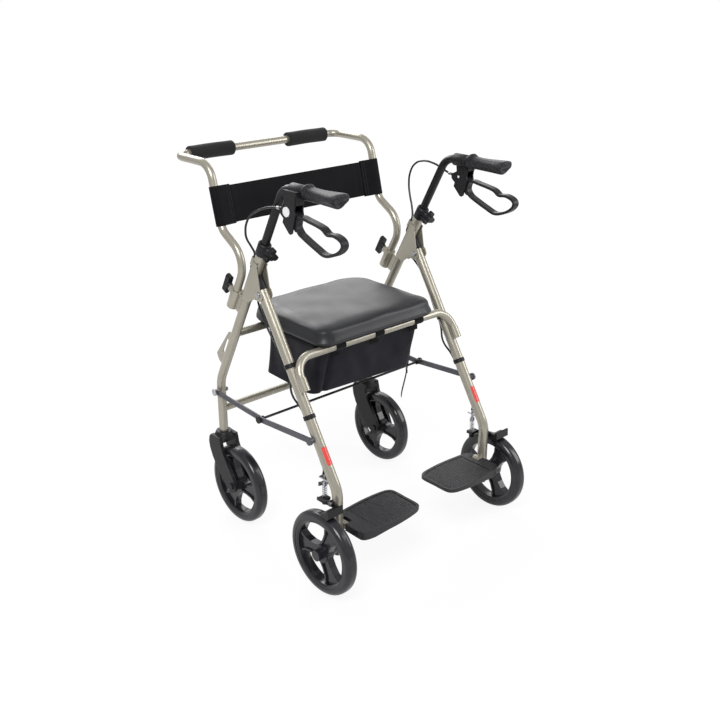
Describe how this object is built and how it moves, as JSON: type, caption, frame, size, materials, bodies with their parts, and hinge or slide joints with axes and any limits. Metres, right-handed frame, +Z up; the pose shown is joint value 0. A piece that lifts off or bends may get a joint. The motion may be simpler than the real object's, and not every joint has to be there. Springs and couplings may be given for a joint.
{
  "type": "rollator transport chair",
  "caption": "Folding rollator that doubles as a transport chair, with a padded seat, bag, loop brakes, swivel casters, flip-up footplates and a rear push bar.",
  "frame": {"origin": "on the floor, under the middle of the box round the whole chair", "axes": "+Z up, +X to the right of someone who pushes it, -Y to the footplates and +Y to the push bar"},
  "size_m": [0.617, 0.684, 0.909],
  "materials": {
    "frame_paint": "champagne metallic paint",
    "black_paint": "black powder coat",
    "brace_paint": "grey metallic paint",
    "steel": "zinc plated",
    "black_plastic": "moulded, fine grain",
    "foot_plastic": "moulded, textured",
    "wheel_plastic": "moulded, semi gloss",
    "white_plastic": "smooth",
    "red_reflector": "reflective film",
    "cable_jacket": "smooth jacket",
    "grip_rubber": "moulded grip",
    "foam": "closed cell foam",
    "tyre_rubber": "solid tyre",
    "seat_vinyl": "grained vinyl",
    "bag_nylon": "woven nylon",
    "webbing": "woven webbing",
    "sling_nylon": "woven strap"
  },
  "bodies": {
    "back_frame": {"main_tube_left": "frame_paint", "main_tube_right": "frame_paint", "lower_cross_tube": "frame_paint", "upper_cross_tube": "frame_paint", "frame_lugs": "frame_paint", "hinge_brackets": "frame_paint", "back_sockets": "frame_paint", "height_collars": "black_plastic", "frame_bolts": "steel", "bag": "bag_nylon", "tail_strap": "webbing"},
    "front_frame": {"front_leg_left": "frame_paint", "front_leg_right": "frame_paint", "leg_plugs": "black_plastic", "seat_bar": "frame_paint", "reflectors": "red_reflector", "cable_clips": "black_plastic", "leg_cables": "cable_jacket", "brake_adjusters": "steel", "brake_springs": "steel", "leg_bolts": "steel", "bag_straps": "webbing"},
    "rear_braces": {"brace_rear_bars": "brace_paint", "brace_rod": "black_plastic"},
    "front_braces": {"brace_front_bars": "brace_paint"},
    "seat": {"seat_pad": "seat_vinyl", "seat_board": "black_plastic"},
    "backrest": {"push_bar": "frame_paint", "foam_grips": "foam", "back_sling": "sling_nylon"},
    "handle_left": {"handle_tube_left": "black_paint", "grip_left": "grip_rubber", "brake_housing_left": "black_plastic", "lever_cap_left": "white_plastic", "upper_cable_left": "cable_jacket"},
    "lever_left": {"brake_lever_left": "black_plastic"},
    "shoe_left": {"brake_shoe_left": "black_paint"},
    "fork_left": {"caster_fork_left": "black_plastic"},
    "rear_wheel_left": {"caster_wheel_left": "wheel_plastic", "caster_tyre_left": "tyre_rubber"},
    "front_wheel_left": {"brake_wheel_left": "wheel_plastic", "brake_tyre_left": "tyre_rubber"},
    "height_knob_left": {"star_knob_left": "black_plastic"},
    "backrest_knob_left": {"back_knob_left": "black_plastic"},
    "foot_left": {"footplate_left": "foot_plastic"},
    "handle_right": {"handle_tube_right": "black_paint", "grip_right": "grip_rubber", "brake_housing_right": "black_plastic", "lever_cap_right": "white_plastic", "upper_cable_right": "cable_jacket"},
    "lever_right": {"brake_lever_right": "black_plastic"},
    "shoe_right": {"brake_shoe_right": "black_paint"},
    "fork_right": {"caster_fork_right": "black_plastic"},
    "rear_wheel_right": {"caster_wheel_right": "wheel_plastic", "caster_tyre_right": "tyre_rubber"},
    "front_wheel_right": {"brake_wheel_right": "wheel_plastic", "brake_tyre_right": "tyre_rubber"},
    "height_knob_right": {"star_knob_right": "black_plastic"},
    "backrest_knob_right": {"back_knob_right": "black_plastic"},
    "foot_right": {"footplate_right": "foot_plastic"}
  },
  "joints": [
    {"name": "frame_fold", "type": "hinge", "parent": "back_frame", "child": "front_frame", "pos_m": [0, 0.00283, 0.63206], "axis": [1, 0, 0], "range_deg": [0, 16], "deforming": ["bag", "leg_cables"]},
    {"name": "rear_brace_turn", "type": "hinge", "parent": "back_frame", "child": "rear_braces", "pos_m": [0, 0.1915, 0.336], "axis": [1, 0, 0], "range_deg": [-36.4, 0]},
    {"name": "front_brace_turn", "type": "hinge", "parent": "rear_braces", "child": "front_braces", "pos_m": [0, 0.0087, 0.32875], "axis": [1, 0, 0], "range_deg": [0, 86.8]},
    {"name": "seat_flip", "type": "hinge", "parent": "back_frame", "child": "seat", "pos_m": [0, 0.1164, 0.50714], "axis": [-1, 0, 0], "range_deg": [0, 75]},
    {"name": "backrest_height", "type": "slide", "parent": "back_frame", "child": "backrest", "axis": [0, -0.4664, 0.8846], "range_m": [0, 0.035]},
    {"name": "handle_height_left", "type": "slide", "parent": "back_frame", "child": "handle_left", "axis": [0, -0.4664, 0.8846], "range_m": [-0.06, 0.03], "deforming": ["upper_cable_left"]},
    {"name": "lever_squeeze_left", "type": "hinge", "parent": "handle_left", "child": "lever_left", "pos_m": [-0.256, -0.12064, 0.84218], "axis": [-1, 0, 0], "range_deg": [0, 15], "stiffness_Nm_per_rad": 2},
    {"name": "shoe_press_left", "type": "hinge", "parent": "front_frame", "child": "shoe_left", "pos_m": [-0.26, -0.2385, 0.212], "axis": [1, 0, 0], "range_deg": [0, 4.6], "deforming": ["brake_springs"]},
    {"name": "caster_swivel_left", "type": "hinge", "parent": "back_frame", "child": "fork_left", "pos_m": [-0.243, 0.1915, 0.227], "axis": [0, 0, 1], "continuous": true},
    {"name": "rear_wheel_spin_left", "type": "hinge", "parent": "fork_left", "child": "rear_wheel_left", "pos_m": [-0.243, 0.1315, 0.1], "axis": [1, 0, 0], "continuous": true},
    {"name": "front_wheel_spin_left", "type": "hinge", "parent": "front_frame", "child": "front_wheel_left", "pos_m": [-0.284, -0.242, 0.1], "axis": [1, 0, 0], "continuous": true},
    {"name": "height_knob_turn_left", "type": "hinge", "parent": "back_frame", "child": "height_knob_left", "pos_m": [-0.243, -0.02469, 0.73004], "axis": [0, 0.8846, 0.4664], "continuous": true},
    {"name": "backrest_knob_turn_left", "type": "hinge", "parent": "back_frame", "child": "backrest_knob_left", "pos_m": [-0.243, 0.12598, 0.6173], "axis": [0, 0.8846, 0.4664], "continuous": true},
    {"name": "footplate_flip_left", "type": "hinge", "parent": "front_frame", "child": "foot_left", "pos_m": [-0.222, -0.242, 0.149], "axis": [0, -1, 0], "range_deg": [0, 85]},
    {"name": "handle_height_right", "type": "slide", "parent": "back_frame", "child": "handle_right", "axis": [0, -0.4664, 0.8846], "range_m": [-0.06, 0.03], "deforming": ["upper_cable_right"]},
    {"name": "lever_squeeze_right", "type": "hinge", "parent": "handle_right", "child": "lever_right", "pos_m": [0.256, -0.12064, 0.84218], "axis": [-1, 0, 0], "range_deg": [0, 15], "stiffness_Nm_per_rad": 2},
    {"name": "shoe_press_right", "type": "hinge", "parent": "front_frame", "child": "shoe_right", "pos_m": [0.26, -0.2385, 0.212], "axis": [1, 0, 0], "range_deg": [0, 4.6], "deforming": ["brake_springs"]},
    {"name": "caster_swivel_right", "type": "hinge", "parent": "back_frame", "child": "fork_right", "pos_m": [0.243, 0.1915, 0.227], "axis": [0, 0, 1], "continuous": true},
    {"name": "rear_wheel_spin_right", "type": "hinge", "parent": "fork_right", "child": "rear_wheel_right", "pos_m": [0.243, 0.1315, 0.1], "axis": [1, 0, 0], "continuous": true},
    {"name": "front_wheel_spin_right", "type": "hinge", "parent": "front_frame", "child": "front_wheel_right", "pos_m": [0.284, -0.242, 0.1], "axis": [1, 0, 0], "continuous": true},
    {"name": "height_knob_turn_right", "type": "hinge", "parent": "back_frame", "child": "height_knob_right", "pos_m": [0.243, -0.02469, 0.73004], "axis": [0, 0.8846, 0.4664], "continuous": true},
    {"name": "backrest_knob_turn_right", "type": "hinge", "parent": "back_frame", "child": "backrest_knob_right", "pos_m": [0.243, 0.12598, 0.6173], "axis": [0, 0.8846, 0.4664], "continuous": true},
    {"name": "footplate_flip_right", "type": "hinge", "parent": "front_frame", "child": "foot_right", "pos_m": [0.222, -0.242, 0.149], "axis": [0, 1, 0], "range_deg": [0, 85]}
  ],
  "couplings": [
    {"joint": "rear_brace_turn", "follows": "frame_fold", "ratio": -2.2634},
    {"joint": "front_brace_turn", "follows": "frame_fold", "ratio": 5.4079},
    {"joint": "shoe_press_left", "follows": "lever_squeeze_left", "ratio": 0.3},
    {"joint": "shoe_press_right", "follows": "lever_squeeze_right", "ratio": 0.3}
  ]
}
